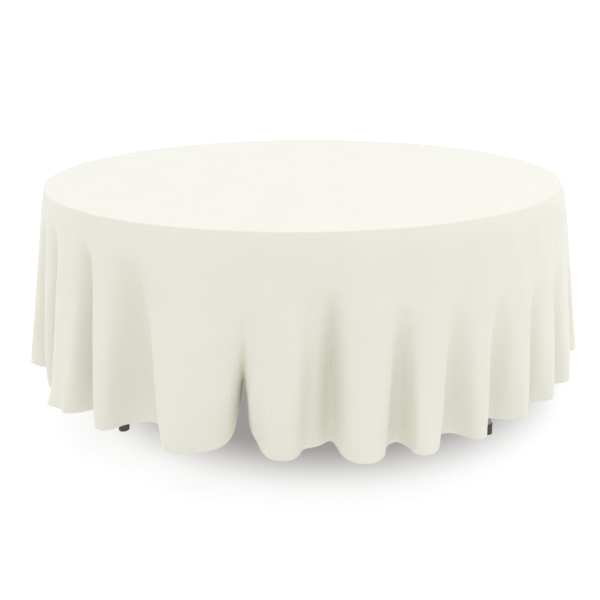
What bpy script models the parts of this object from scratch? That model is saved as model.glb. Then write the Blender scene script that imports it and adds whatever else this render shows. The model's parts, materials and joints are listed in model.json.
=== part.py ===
"""A round banquet table with folding wishbone legs, dressed with a round polyester cloth.

Metres, +Z up. The origin is on the floor, below the middle of the top. The front is at -Y.
"""

from math import atan2, cos, hypot, pi, radians, sin, sqrt, tan

import bmesh
import bpy
from mathutils import Matrix, Vector

INCH = 0.0254
GAP = 0.0003  # between pieces that touch
MERGE = 0.00001
RUNNING_GAP = 0.0007  # round a turning tube

# The table top: a plywood disc in a plastic edge moulding.
TABLE_HEIGHT = 30 * INCH
TOP_RADIUS = 36 * INCH  # to the outside of the moulding
PLY_THICK = 0.019
MOULDING_THICK = 0.004
MOULDING_ROUND = 0.003
TOP_SEGMENTS = 72

# Two wooden runners under the top carry the leg pivots.
RUNNER_LENGTH = 1.26
RUNNER_WIDTH = 0.045
RUNNER_THICK = 0.040
RUNNER_OFFSET = 0.20  # from the middle, front and back
RUNNER_SCREW_SPACING = 0.36
RUNNER_SCREW_LENGTH = 0.050

# A folding leg set: two bent tubes welded to a pivot tube and a crossbar.
TUBE_RADIUS = 0.0143
CROSSBAR_RADIUS = 0.011
PIVOT_X = 0.555
PIVOT_TUBE_LENGTH = 0.62
LEG_SPLAY = radians(3.9)
LEG_TOP_HALF = 0.27  # half the spread of the legs at the pivot tube
LEG_FOOT_HALF = 0.59  # half the spread of the feet
LEG_BEND_START = 0.07  # below the pivot
LEG_BEND_END = 0.36
LEG_BEND_RADIUS = 0.06
LEG_STAGGER = 0.018  # each set's middle from the table's, so the folded sets pass
TUBE_RESOLUTION = 4

# The plastic foot caps.
CAP_RADIUS = 0.0175
CAP_HEIGHT = 0.035
CAP_FLOOR = 0.006
CAP_SEGMENTS = 16

# Saddle brackets that hold a pivot tube against a runner.
SADDLE_THICK = 0.003
SADDLE_WIDTH = 0.030
SADDLE_REACH = 0.045

# The folding brace of a leg set: two flat arms that lie in a line when the legs stand.
CROSSBAR_DROP = 0.25  # from the pivot to the crossbar, along the legs
LUG_REACH = 0.030  # from the crossbar's axis to the lower pin
LUG_THICK = 0.005
BRACE_SPAN = 0.35  # from the leg pivot to the upper pin, level
ARM_THICK = 0.004
ARM_HALF_WIDTH = 0.009
PIN_RADIUS = 0.004
PIN_CLEARANCE = 0.0005
PIN_HEAD_RADIUS = 0.007
PIN_HEAD_THICK = 0.0025
BRACKET_LENGTH = 0.070
BRACKET_WIDTH = 0.040
BRACKET_THICK = 0.0025
EAR_LENGTH = 0.024
EAR_BELOW_PIN = 0.010
BRACKET_SCREW_SPACING = 0.050

# Pan-head wood screws.
SCREW_RADIUS = 0.002
SCREW_CLEARANCE = 0.0004
SCREW_HEAD_RADIUS = 0.0045
SCREW_HEAD_THICK = 0.003
SADDLE_SCREW_LENGTH = 0.025
BRACKET_SCREW_LENGTH = 0.015

# The cloth: a round of polyester, hemmed all the way round.
CLOTH_RADIUS = 60 * INCH
CLOTH_THICK = 0.0015
CLOTH_SIDE_GAP = 0.0010
HEM_WIDTH = 0.012
HEM_EXTRA = 0.0006  # how much the doubled hem stands out
CLOTH_COLUMNS = 144
SKIRT_ROWS = (0.2, 0.45, 0.72)  # shares of the drop

# Where the hem stands, from the middle: azimuth from the front towards +X, and radius.
FRONT_FOLDS = (
    (-69.0, 1.032), (-63.0, 0.950), (-57.0, 1.035), (-50.5, 0.940),
    (-44.5, 1.045), (-40.0, 0.925), (-34.8, 1.020), (-30.3, 0.918),
    (-21.5, 1.030), (-16.6, 0.998), (-10.7, 0.916), (-4.1, 1.005),
    (3.0, 0.918), (8.8, 1.038), (14.0, 0.936), (18.6, 1.045),
    (23.8, 0.950), (28.3, 1.037), (33.5, 0.950), (38.6, 1.030),
    (44.0, 0.950), (49.2, 1.022), (54.0, 0.945), (58.4, 1.040),
)  # fmt: skip
BACK_FOLDS = 19
BACK_CREST = 1.032
BACK_TROUGH = 0.936
BACK_VARIATION = 0.012
BACK_SWAY = 1.6  # degrees

# Worked out from the sizes above.
PLY_RADIUS = TOP_RADIUS - MOULDING_THICK - GAP
PLY_BOTTOM = TABLE_HEIGHT - PLY_THICK
RUNNER_TOP = PLY_BOTTOM - GAP
RUNNER_BOTTOM = RUNNER_TOP - RUNNER_THICK
PIVOT_Z = RUNNER_BOTTOM - TUBE_RADIUS - RUNNING_GAP
LEG_LENGTH = PIVOT_Z / cos(LEG_SPLAY)
PIN_HOLE = PIN_RADIUS + PIN_CLEARANCE
SCREW_HOLE = SCREW_RADIUS + SCREW_CLEARANCE
UPPER_PIN = Vector((PIVOT_X - BRACE_SPAN, 0, PIVOT_Z + LUG_REACH))
LOWER_ARM_Y = LUG_THICK / 2 + GAP + ARM_THICK / 2
UPPER_ARM_Y = LOWER_ARM_Y + ARM_THICK + GAP

parts = None
cutters = None


def start_scene():
    """Empty the scene and make the two collections."""
    global parts, cutters
    for obj in list(bpy.data.objects):
        bpy.data.objects.remove(obj, do_unlink=True)
    parts = bpy.data.collections.new("dressed_banquet_table")
    cutters = bpy.data.collections.new("cutters")
    for collection in (parts, cutters):
        bpy.context.scene.collection.children.link(collection)


def finish(name, colour, roughness, metallic=0.0):
    """A Principled material."""
    material = bpy.data.materials.new(name)
    material.use_nodes = True
    shader = material.node_tree.nodes["Principled BSDF"]
    shader.inputs["Base Color"].default_value = (*colour, 1)
    shader.inputs["Roughness"].default_value = roughness
    shader.inputs["Metallic"].default_value = metallic
    return material


def add(name, data, look, parent=None, location=(0, 0, 0), rotation=(0, 0, 0)):
    """Link a new object, with a material of its own, to the parts."""
    obj = bpy.data.objects.new(name, data)
    data.materials.append(finish(name, *look))
    parts.objects.link(obj)
    place(obj, parent, location, rotation)
    return obj


def add_cutter(name, data, parent=None, location=(0, 0, 0)):
    obj = bpy.data.objects.new(name, data)
    obj.hide_render = True
    obj.display_type = "WIRE"
    cutters.objects.link(obj)
    place(obj, parent, location)
    return obj


def place(obj, parent, location=(0, 0, 0), rotation=(0, 0, 0)):
    obj.parent = parent
    obj.location = location
    obj.rotation_euler = rotation


def empty(name, parent=None, location=(0, 0, 0), rotation=(0, 0, 0)):
    obj = bpy.data.objects.new(name, None)
    parts.objects.link(obj)
    place(obj, parent, location, rotation)
    return obj


def mesh_from(bm, name, smooth=True):
    mesh = bpy.data.meshes.new(name)
    bm.to_mesh(mesh)
    bm.free()
    if smooth:
        mesh.shade_smooth()
        mesh.set_sharp_from_angle(angle=radians(35))
    return mesh


def box_mesh(name, size, centre=(0, 0, 0)):
    bm = bmesh.new()
    bmesh.ops.create_cube(bm, size=1, matrix=Matrix.Translation(centre) @ Matrix.Diagonal((*size, 1)))
    return mesh_from(bm, name, smooth=False)


def rod_mesh(name, radius, length, axis="Z", segments=12, centre=(0, 0, 0)):
    """A round bar along an axis, centred on a point."""
    turn = {"X": Matrix.Rotation(pi / 2, 4, "Y"), "Y": Matrix.Rotation(pi / 2, 4, "X"), "Z": Matrix()}
    bm = bmesh.new()
    bmesh.ops.create_cone(
        bm,
        cap_ends=True,
        segments=segments,
        radius1=radius,
        radius2=radius,
        depth=length,
        matrix=Matrix.Translation(centre) @ turn[axis],
    )
    return mesh_from(bm, name)


def turned(name, profile, steps, look, closed, **where):
    """Turn a (radius, height) profile, whose outer side runs downwards, about +Z."""
    mesh = bpy.data.meshes.new(name)
    count = len(profile)
    edges = [(i, (i + 1) % count) for i in range(count if closed else count - 1)]
    mesh.from_pydata([(radius, 0, height) for radius, height in profile], edges, [])
    obj = add(name, mesh, look, **where)
    screw = obj.modifiers.new("Turn", "SCREW")
    screw.steps = screw.render_steps = steps
    screw.use_merge_vertices = True
    screw.merge_threshold = MERGE
    screw.use_smooth_shade = True
    return obj


def plate(name, outlines, thickness, look, **where):
    """A flat plate in its own XY plane: an outline, then the outlines of its holes."""
    curve = bpy.data.curves.new(name, "CURVE")
    curve.dimensions = "2D"
    curve.fill_mode = "BOTH"
    curve.extrude = thickness / 2
    for outline in outlines:
        spline = curve.splines.new("POLY")
        spline.points.add(len(outline) - 1)
        for point, (x, y) in zip(spline.points, outline):
            point.co = (x, y, 0, 1)
        spline.use_cyclic_u = True
    return add(name, curve, look, **where)


def as_mesh(obj):
    """The same piece as a welded mesh, for a curve that is to be cut."""
    bpy.context.view_layer.update()
    name = obj.name
    evaluated = obj.evaluated_get(bpy.context.evaluated_depsgraph_get())
    mesh = bpy.data.meshes.new_from_object(evaluated)
    bm = bmesh.new()
    bm.from_mesh(mesh)
    bmesh.ops.remove_doubles(bm, verts=bm.verts, dist=MERGE)
    bm.to_mesh(mesh)
    bm.free()
    matrix = obj.matrix_world.copy()
    bpy.data.objects.remove(obj, do_unlink=True)
    piece = bpy.data.objects.new(name, mesh)
    parts.objects.link(piece)
    piece.matrix_world = matrix
    return piece


def boolean(obj, other, operation="DIFFERENCE"):
    modifier = obj.modifiers.new(other.name, "BOOLEAN")
    modifier.operation = operation
    modifier.object = other


def soften(obj, width):
    bevel = obj.modifiers.new("Eased edges", "BEVEL")
    bevel.width = width
    bevel.segments = 1


def arc(centre, radius, start, end, steps):
    """Points on an arc, both ends included; angles in degrees."""
    angles = [radians(start + (end - start) * i / steps) for i in range(steps + 1)]
    return [(centre[0] + radius * cos(a), centre[1] + radius * sin(a)) for a in angles]


def circle(centre, radius, steps=12):
    return arc(centre, radius, 0, 360, steps)[:-1]


def bent_path(corners, radius, steps):
    """Points along the corners, with each inner corner turned on an arc."""
    corners = [Vector(corner) for corner in corners]
    path = [corners[0]]
    for before, corner, after in zip(corners, corners[1:], corners[2:]):
        back = (before - corner).normalized()
        ahead = (after - corner).normalized()
        half = back.angle(ahead) / 2
        centre = corner + (back + ahead).normalized() * radius / sin(half)
        first = corner + back * radius / tan(half) - centre
        last = corner + ahead * radius / tan(half) - centre
        path += [centre + first.slerp(last, i / steps).normalized() * radius for i in range(steps + 1)]
    return path + [corners[-1]]


def bent_tube(name, path, radius, look, **where):
    curve = bpy.data.curves.new(name, "CURVE")
    curve.dimensions = "3D"
    curve.bevel_depth = radius
    curve.bevel_resolution = TUBE_RESOLUTION
    curve.use_fill_caps = True
    spline = curve.splines.new("POLY")
    spline.points.add(len(path) - 1)
    for point, co in zip(spline.points, path):
        point.co = (*co, 1)
    return add(name, curve, look, **where)


# Finishes: colour, roughness, metallic.
PLYWOOD = ((0.52, 0.34, 0.18), 0.6)
TIMBER = ((0.60, 0.42, 0.24), 0.65)
DARK_PLASTIC = ((0.035, 0.033, 0.025), 0.5)
PAINTED_STEEL = ((0.30, 0.28, 0.25), 0.45, 0.3)
ZINC_STEEL = ((0.55, 0.56, 0.57), 0.35, 1.0)
IVORY_CLOTH = ((0.86, 0.85, 0.75), 0.75)


def make_top(screw_holes):
    ply = add("table_top", rod_mesh("table_top", PLY_RADIUS, PLY_THICK, segments=TOP_SEGMENTS,
              centre=(0, 0, TABLE_HEIGHT - PLY_THICK / 2)), PLYWOOD)
    boolean(ply, screw_holes)
    inner = TOP_RADIUS - MOULDING_THICK
    shoulder = TOP_RADIUS - MOULDING_ROUND
    profile = [(inner, PLY_BOTTOM), (inner, TABLE_HEIGHT)]
    profile += arc((shoulder, TABLE_HEIGHT - MOULDING_ROUND), MOULDING_ROUND, 90, 0, 2)
    profile += [(TOP_RADIUS, PLY_BOTTOM)]
    turned("edge_moulding", profile, TOP_SEGMENTS, DARK_PLASTIC, closed=True)
    for end, side in (("front", -1), ("back", 1)):
        size = (RUNNER_LENGTH, RUNNER_WIDTH, RUNNER_THICK)
        centre = (0, side * RUNNER_OFFSET, RUNNER_TOP - RUNNER_THICK / 2)
        runner = add(f"runner_{end}", box_mesh("runner", size), TIMBER, location=centre)
        soften(runner, 0.003)
        boolean(runner, screw_holes)


def screw_places():
    """Every wood screw: its name, the point under its head's seat, and its length."""
    for end, side in (("front", -1), ("back", 1)):
        for i in (-1, 0, 1):
            where = (i * RUNNER_SCREW_SPACING, side * RUNNER_OFFSET, RUNNER_BOTTOM)
            yield f"runner_screw_{end}_{i + 2}", where, RUNNER_SCREW_LENGTH
        for leg, x in (("right", PIVOT_X), ("left", -PIVOT_X)):
            for i in (-1, 1):
                place_x = x + i * (SADDLE_REACH + TUBE_RADIUS + RUNNING_GAP + SADDLE_THICK) / 2
                where = (place_x, side * RUNNER_OFFSET, RUNNER_BOTTOM - GAP - SADDLE_THICK)
                name = f"saddle_screw_{leg}_{end}_{'outer' if i * x > 0 else 'inner'}"
                yield name, where, SADDLE_SCREW_LENGTH
    for leg, side in (("right", 1), ("left", -1)):
        for i in (-1, 1):
            where = (
                side * (UPPER_PIN.x + i * BRACKET_SCREW_SPACING / 2),
                -side * (LEG_STAGGER - UPPER_ARM_Y),
                PLY_BOTTOM - GAP - BRACKET_THICK,
            )
            yield f"brace_screw_{leg}_{'outer' if i > 0 else 'inner'}", where, BRACKET_SCREW_LENGTH


def make_screws():
    """The screws, and one cutter that holds all their holes."""
    bm = bmesh.new()
    for name, (x, y, z), length in screw_places():
        profile = [
            (0, length),
            (SCREW_RADIUS, length - 2 * SCREW_RADIUS),
            (SCREW_RADIUS, 0),
            (SCREW_HEAD_RADIUS, 0),
            (SCREW_HEAD_RADIUS, -SCREW_HEAD_THICK / 2),
            (SCREW_HEAD_RADIUS * 0.6, -SCREW_HEAD_THICK),
            (0, -SCREW_HEAD_THICK),
        ]
        turned(name, profile, 8, ZINC_STEEL, closed=False, location=(x, y, z - GAP))
        bmesh.ops.create_cone(
            bm,
            cap_ends=True,
            segments=12,
            radius1=SCREW_HOLE,
            radius2=SCREW_HOLE,
            depth=length + 2 * SCREW_HEAD_THICK,
            matrix=Matrix.Translation((x, y, z + length / 2)),
        )
    return add_cutter("screw_holes", mesh_from(bm, "screw_holes"))


def make_legs(side, frame, end_names, floor_block):
    """The welded leg frame, its lug and its foot caps, about the leg pivot."""
    pivot = empty(f"{side}_leg_pivot", frame, (PIVOT_X, 0, PIVOT_Z), (0, -LEG_SPLAY, 0))
    tube = rod_mesh("pivot_tube", TUBE_RADIUS, PIVOT_TUBE_LENGTH, "Y", 16)
    add(f"{side}_pivot_tube", tube, PAINTED_STEEL, pivot)
    cap_top = -LEG_LENGTH + CAP_HEIGHT
    cap_seat = -LEG_LENGTH + CAP_FLOOR
    bore = (TUBE_RADIUS + GAP) / cos(pi / CAP_SEGMENTS)
    for sign, end in end_names:
        corners = (
            (0, sign * LEG_TOP_HALF, -TUBE_RADIUS - GAP),
            (0, sign * LEG_TOP_HALF, -LEG_BEND_START),
            (0, sign * LEG_FOOT_HALF, -LEG_BEND_END),
            (0, sign * LEG_FOOT_HALF, cap_seat + GAP),
        )
        path = bent_path(corners, LEG_BEND_RADIUS, 3)
        bent_tube(f"{side}_leg_{end}", path, TUBE_RADIUS, PAINTED_STEEL, parent=pivot)
        profile = [
            (0, cap_seat),
            (bore, cap_seat),
            (bore, cap_top),
            (CAP_RADIUS - 0.001, cap_top),
            (CAP_RADIUS, cap_top - 0.001),
            (CAP_RADIUS, -LEG_LENGTH - CAP_FLOOR),
            (0, -LEG_LENGTH - CAP_FLOOR),
        ]
        cap = turned(f"{side}_foot_cap_{end}", profile, CAP_SEGMENTS, DARK_PLASTIC, closed=False,
                     parent=pivot, location=(0, sign * LEG_FOOT_HALF, 0))
        boolean(cap, floor_block)
    slope = (LEG_FOOT_HALF - LEG_TOP_HALF) / (LEG_BEND_END - LEG_BEND_START)
    leg_y = LEG_TOP_HALF + slope * (CROSSBAR_DROP - CROSSBAR_RADIUS - LEG_BEND_START)
    half = leg_y - (TUBE_RADIUS + GAP) * hypot(1, slope)
    bar = rod_mesh("crossbar", CROSSBAR_RADIUS, 2 * half, "Y")
    add(f"{side}_crossbar", bar, PAINTED_STEEL, pivot, (0, 0, -CROSSBAR_DROP))
    lug_radius = ARM_HALF_WIDTH + 0.001
    weld_x = LUG_REACH - CROSSBAR_RADIUS - GAP
    outline = [(weld_x, -lug_radius), (weld_x, lug_radius)] + arc((0, 0), lug_radius, 90, 270, 6)
    lug_pin = (-LUG_REACH, 0, -CROSSBAR_DROP)
    plate(f"{side}_brace_lug", [outline, circle((0, 0), PIN_HOLE)], LUG_THICK, PAINTED_STEEL,
          parent=pivot, location=lug_pin, rotation=(pi / 2, 0, 0))
    make_pin(f"{side}_lug_pin", pivot, lug_pin, -LUG_THICK / 2, LOWER_ARM_Y + ARM_THICK / 2)
    return pivot


def make_pin(name, parent, location, start, end):
    """A headed pin along +Y, from the face under its head to its far end."""
    profile = [
        (0, PIN_HEAD_THICK),
        (PIN_HEAD_RADIUS * 0.7, PIN_HEAD_THICK),
        (PIN_HEAD_RADIUS, PIN_HEAD_THICK / 2),
        (PIN_HEAD_RADIUS, 0),
        (PIN_RADIUS, 0),
        (PIN_RADIUS, start - end - GAP),
        (0, start - end - GAP),
    ]
    x, y, z = location
    turned(name, profile, 12, ZINC_STEEL, closed=False, parent=parent,
           location=(x, y + start - GAP, z), rotation=(pi / 2, 0, 0))


def make_brace(side, frame, pivot):
    """The two arms of the brace, lying in one line from the upper pin to the lug's pin."""
    reach = Matrix.Rotation(-LEG_SPLAY, 3, "Y") @ Vector((-LUG_REACH, 0, -CROSSBAR_DROP))
    lower_pin = Vector((PIVOT_X, 0, PIVOT_Z)) + reach
    open_length = hypot(lower_pin.x - UPPER_PIN.x, lower_pin.z - UPPER_PIN.z)
    shut_length = BRACE_SPAN - CROSSBAR_DROP
    tilt = atan2(UPPER_PIN.z - lower_pin.z, lower_pin.x - UPPER_PIN.x)
    upper_length = (open_length + shut_length) / 2
    lower_length = (open_length - shut_length) / 2
    upper = empty(f"{side}_upper_brace_pivot", frame, UPPER_PIN, (0, tilt, 0))
    lower = empty(f"{side}_lower_brace_pivot", pivot, (-LUG_REACH, 0, -CROSSBAR_DROP),
                  (0, pi + tilt + LEG_SPLAY, 0))
    hole = circle((0, 0), PIN_HOLE)
    plate(f"{side}_upper_brace_arm", [arm_outline(upper_length), hole], ARM_THICK, PAINTED_STEEL,
          parent=upper, location=(0, UPPER_ARM_Y, 0), rotation=(pi / 2, 0, 0))
    rivet_hole = circle((lower_length, 0), PIN_HOLE)
    plate(f"{side}_lower_brace_arm", [arm_outline(lower_length), hole, rivet_hole], ARM_THICK,
          PAINTED_STEEL, parent=lower, location=(0, LOWER_ARM_Y, 0), rotation=(pi / 2, 0, 0))
    face = LOWER_ARM_Y - ARM_THICK / 2
    make_pin(f"{side}_brace_rivet", lower, (lower_length, 0, 0), face, face + ARM_THICK)


def arm_outline(length):
    """A flat bar with round ends, from the origin along +X."""
    return arc((length, 0), ARM_HALF_WIDTH, -90, 90, 6) + arc((0, 0), ARM_HALF_WIDTH, 90, 270, 6)


def make_brace_bracket(side, frame, screw_holes):
    """A plate under the top with two ears, and the pin through them."""
    ear_top = PLY_BOTTOM - GAP - BRACKET_THICK / 2
    ear_bottom = UPPER_PIN.z - EAR_BELOW_PIN
    inner = ARM_THICK / 2 + GAP
    plate_size = (BRACKET_LENGTH, BRACKET_WIDTH, BRACKET_THICK)
    middle = (UPPER_PIN.x, UPPER_ARM_Y, PLY_BOTTOM - GAP - BRACKET_THICK / 2)
    bracket = add(f"{side}_brace_bracket", box_mesh("bracket", plate_size), ZINC_STEEL, frame, middle)
    bm = bmesh.new()
    for sign in (-1, 1):
        size = (EAR_LENGTH, BRACKET_THICK, ear_top - ear_bottom)
        at = (0, sign * (inner + BRACKET_THICK / 2), (ear_top + ear_bottom) / 2 - UPPER_PIN.z)
        bmesh.ops.create_cube(bm, size=1, matrix=Matrix.Translation(at) @ Matrix.Diagonal((*size, 1)))
    centre = (UPPER_PIN.x, UPPER_ARM_Y, UPPER_PIN.z)
    ears = add_cutter(f"{side}_ears", mesh_from(bm, "ears", smooth=False), frame, centre)
    hole = add_cutter(f"{side}_ear_hole", rod_mesh("ear_hole", PIN_HOLE, BRACKET_WIDTH, "Y"), frame, centre)
    boolean(bracket, ears, "UNION")
    boolean(bracket, hole)
    boolean(bracket, screw_holes)
    out = inner + BRACKET_THICK
    make_pin(f"{side}_brace_pin", frame, centre, -out, out + PIN_RADIUS / 2)


def make_saddles(side, frame, end_names, screw_holes):
    """The straps that hold a pivot tube against the runners."""
    inner = TUBE_RADIUS + RUNNING_GAP + GAP
    outer = inner + SADDLE_THICK
    seat = RUNNER_BOTTOM - GAP - PIVOT_Z
    outline = [(SADDLE_REACH, seat), (inner, seat)] + arc((0, 0), inner, 0, -180, 8)
    outline += [(-inner, seat), (-SADDLE_REACH, seat), (-SADDLE_REACH, seat - SADDLE_THICK)]
    outline += [(-outer, seat - SADDLE_THICK)] + arc((0, 0), outer, 180, 360, 8)
    outline += [(outer, seat - SADDLE_THICK), (SADDLE_REACH, seat - SADDLE_THICK)]
    for sign, end in end_names:
        where = (PIVOT_X, sign * RUNNER_OFFSET + LEG_STAGGER, PIVOT_Z)
        strap = plate(f"saddle_{side}_{end}", [outline], SADDLE_WIDTH, ZINC_STEEL,
                      parent=frame, location=where, rotation=(pi / 2, 0, 0))
        boolean(as_mesh(strap), screw_holes)


def make_leg_sets(screw_holes):
    floor_block = add_cutter("floor_block", box_mesh("floor_block", (3, 3, 0.1), (0, 0, -0.05)))
    for side, turn in (("right", 0), ("left", pi)):
        stagger = Matrix.Rotation(turn, 3, "Z") @ Vector((0, -LEG_STAGGER, 0))
        frame = empty(f"{side}_leg_set", None, stagger, (0, 0, turn))
        end_names = [(sign, "front" if sign * cos(turn) < 0 else "back") for sign in (-1, 1)]
        pivot = make_legs(side, frame, end_names, floor_block)
        make_brace(side, frame, pivot)
        make_brace_bracket(side, frame, screw_holes)
        make_saddles(side, frame, end_names, screw_holes)


def fold_list():
    """The whole round of folds: azimuth in degrees and hem radius, crests and troughs by turns."""
    folds = list(FRONT_FOLDS)
    start, end = folds[-1][0], folds[0][0] + 360
    pitch = (end - start) / (BACK_FOLDS + 1)
    for i in range(BACK_FOLDS + 1):
        trough = start + pitch * (i + 0.5) + BACK_SWAY * sin(1.4 * i)
        folds.append((trough, BACK_TROUGH + BACK_VARIATION * cos(1.7 * i)))
        if i < BACK_FOLDS:
            crest = start + pitch * (i + 1) + BACK_SWAY * sin(2.1 * i)
            folds.append((crest, BACK_CREST + BACK_VARIATION * sin(1.3 * i)))
    return folds + [(folds[0][0] + 360, folds[0][1])]


def hem_radius(azimuth, folds):
    """The hem's distance from the middle, smooth from fold to fold."""
    azimuth = folds[0][0] + (azimuth - folds[0][0]) % 360
    for (a, r), (b, q) in zip(folds, folds[1:]):
        if azimuth <= b:
            return r + (q - r) * (1 - cos(pi * (azimuth - a) / (b - a))) / 2
    return folds[-1][1]


def skirt_ring(bm, ring, share, folds):
    """Extrude a ring of edges down to a share of the cloth's drop."""
    edge_radius = TOP_RADIUS + CLOTH_SIDE_GAP
    drop = CLOTH_RADIUS - TOP_RADIUS
    made = bmesh.ops.extrude_edge_only(bm, edges=ring)["geom"]
    for vert in (item for item in made if isinstance(item, bmesh.types.BMVert)):
        azimuth = atan2(vert.co.x, -vert.co.y)
        lean = max(hem_radius(azimuth * 180 / pi, folds), edge_radius) - edge_radius
        height = sqrt(drop**2 - lean**2)
        reach = edge_radius + lean * share
        depth = MOULDING_ROUND + (height - MOULDING_ROUND) * share
        vert.co = (reach * sin(azimuth), -reach * cos(azimuth), TABLE_HEIGHT + GAP - depth)
    return [item for item in made if isinstance(item, bmesh.types.BMEdge)]


def edge_ring(bm, ring, radius, height):
    """Extrude a ring of edges to a level circle."""
    made = bmesh.ops.extrude_edge_only(bm, edges=ring)["geom"]
    for vert in (item for item in made if isinstance(item, bmesh.types.BMVert)):
        azimuth = atan2(vert.co.x, -vert.co.y)
        vert.co = (radius * sin(azimuth), -radius * cos(azimuth), height)
    return [item for item in made if isinstance(item, bmesh.types.BMEdge)]


def thicken(obj, thickness, offset):
    solidify = obj.modifiers.new("Cloth", "SOLIDIFY")
    solidify.thickness = thickness
    solidify.offset = offset
    solidify.use_even_offset = True


def make_cloth():
    """The cloth lies on the top, turns over its edge and hangs in folds; the hem band ends it."""
    folds = fold_list()
    top = TABLE_HEIGHT + GAP
    turn = MOULDING_ROUND + CLOTH_SIDE_GAP
    shoulder = TOP_RADIUS - MOULDING_ROUND
    bm = bmesh.new()
    start = Matrix.Translation((0, 0, top))
    bmesh.ops.create_circle(bm, cap_ends=True, segments=CLOTH_COLUMNS, radius=shoulder, matrix=start)
    ring = list(bm.edges)
    height = top - turn * (1 - sqrt(0.5))
    ring = edge_ring(bm, ring, shoulder + turn * sqrt(0.5), height)
    ring = skirt_ring(bm, ring, 0, folds)
    drop = CLOTH_RADIUS - TOP_RADIUS
    hem_share = 1 - HEM_WIDTH / drop
    for share in SKIRT_ROWS + (hem_share - 2 * GAP / drop,):
        ring = skirt_ring(bm, ring, share, folds)
    bmesh.ops.recalc_face_normals(bm, faces=bm.faces)
    cloth = add("tablecloth", mesh_from(bm, "tablecloth"), IVORY_CLOTH)
    thicken(cloth, CLOTH_THICK, 1)

    bm = bmesh.new()
    bmesh.ops.create_circle(bm, segments=CLOTH_COLUMNS, radius=shoulder, matrix=start)
    ring = list(bm.edges)
    first = skirt_ring(bm, ring, hem_share, folds)
    bmesh.ops.delete(bm, geom=ring, context="EDGES_FACES")
    skirt_ring(bm, first, 1, folds)
    bmesh.ops.recalc_face_normals(bm, faces=bm.faces)
    hem = add("hem_band", mesh_from(bm, "hem_band"), IVORY_CLOTH)
    thicken(hem, CLOTH_THICK + HEM_EXTRA, 1)


def main():
    start_scene()
    screw_holes = make_screws()
    make_top(screw_holes)
    make_leg_sets(screw_holes)
    make_cloth()


main()
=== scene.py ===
"""The looks of a folding banquet table dressed with a round ivory polyester cloth.

Metres, +Z up, the front at -Y. The cloth is laid out as the round it was cut from and hung in its
folds from the table's edge, one thread line at a time.
"""

import json
from math import cos, hypot, pi, radians, sin, tan

import bmesh
import bpy
import numpy as np
from mathutils import Matrix, Vector


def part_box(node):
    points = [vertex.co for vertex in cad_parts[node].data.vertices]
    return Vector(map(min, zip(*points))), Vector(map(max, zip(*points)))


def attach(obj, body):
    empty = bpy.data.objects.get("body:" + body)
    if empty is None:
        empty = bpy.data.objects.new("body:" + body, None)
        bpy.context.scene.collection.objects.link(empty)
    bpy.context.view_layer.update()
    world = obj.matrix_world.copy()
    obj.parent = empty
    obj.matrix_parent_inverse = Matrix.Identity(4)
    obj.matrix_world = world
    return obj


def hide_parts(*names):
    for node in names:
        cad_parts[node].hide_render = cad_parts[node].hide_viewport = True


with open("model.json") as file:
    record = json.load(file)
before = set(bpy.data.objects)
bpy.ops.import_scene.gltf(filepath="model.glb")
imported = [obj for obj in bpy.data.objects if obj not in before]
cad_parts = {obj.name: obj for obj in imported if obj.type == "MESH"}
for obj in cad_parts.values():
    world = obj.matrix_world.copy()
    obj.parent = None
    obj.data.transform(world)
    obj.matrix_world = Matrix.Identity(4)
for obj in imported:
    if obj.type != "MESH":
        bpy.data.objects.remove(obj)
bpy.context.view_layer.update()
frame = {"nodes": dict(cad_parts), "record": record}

# Sizes read from the frame.
PLY_LOW, PLY_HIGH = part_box("table_top")
EDGE_LOW, EDGE_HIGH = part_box("edge_moulding")
TABLE_HEIGHT = PLY_HIGH.z
PLY_BOTTOM = PLY_LOW.z
PLY_RADIUS = (PLY_HIGH.x - PLY_LOW.x) / 2
TOP_RADIUS = (EDGE_HIGH.x - EDGE_LOW.x) / 2
MOULDING_THICK = 0.004
MOULDING_ROUND = 0.003
TURNED_STEPS = 192  # round the table's edge

# The cloth as cut, and how it lies.
CLOTH_RADIUS = 1.524
CLOTH_THICK = 0.0007
CLOTH_LIFT = 0.0006  # its middle surface above the table
HEM_WIDTH = 0.012
HEM_THICK = 0.0018
HEM_OVERLAP = 0.008  # how far the single cloth runs into the hem
EDGE_RADIUS = TOP_RADIUS + 0.0012  # the cloth's middle surface at the table's edge
TURN_RADIUS = MOULDING_ROUND + EDGE_RADIUS - TOP_RADIUS  # of the cloth, over the edge
DROP = CLOTH_RADIUS - TOP_RADIUS
COLUMNS = 960
SKIRT_STEPS = 30
TOP_RINGS = (0, 0.35, 0.7, 0.9, 0.97, 1)  # shares of the flat part of the top
EDGE_TURNS = (30, 60, 90)  # degrees round the table's edge

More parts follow.
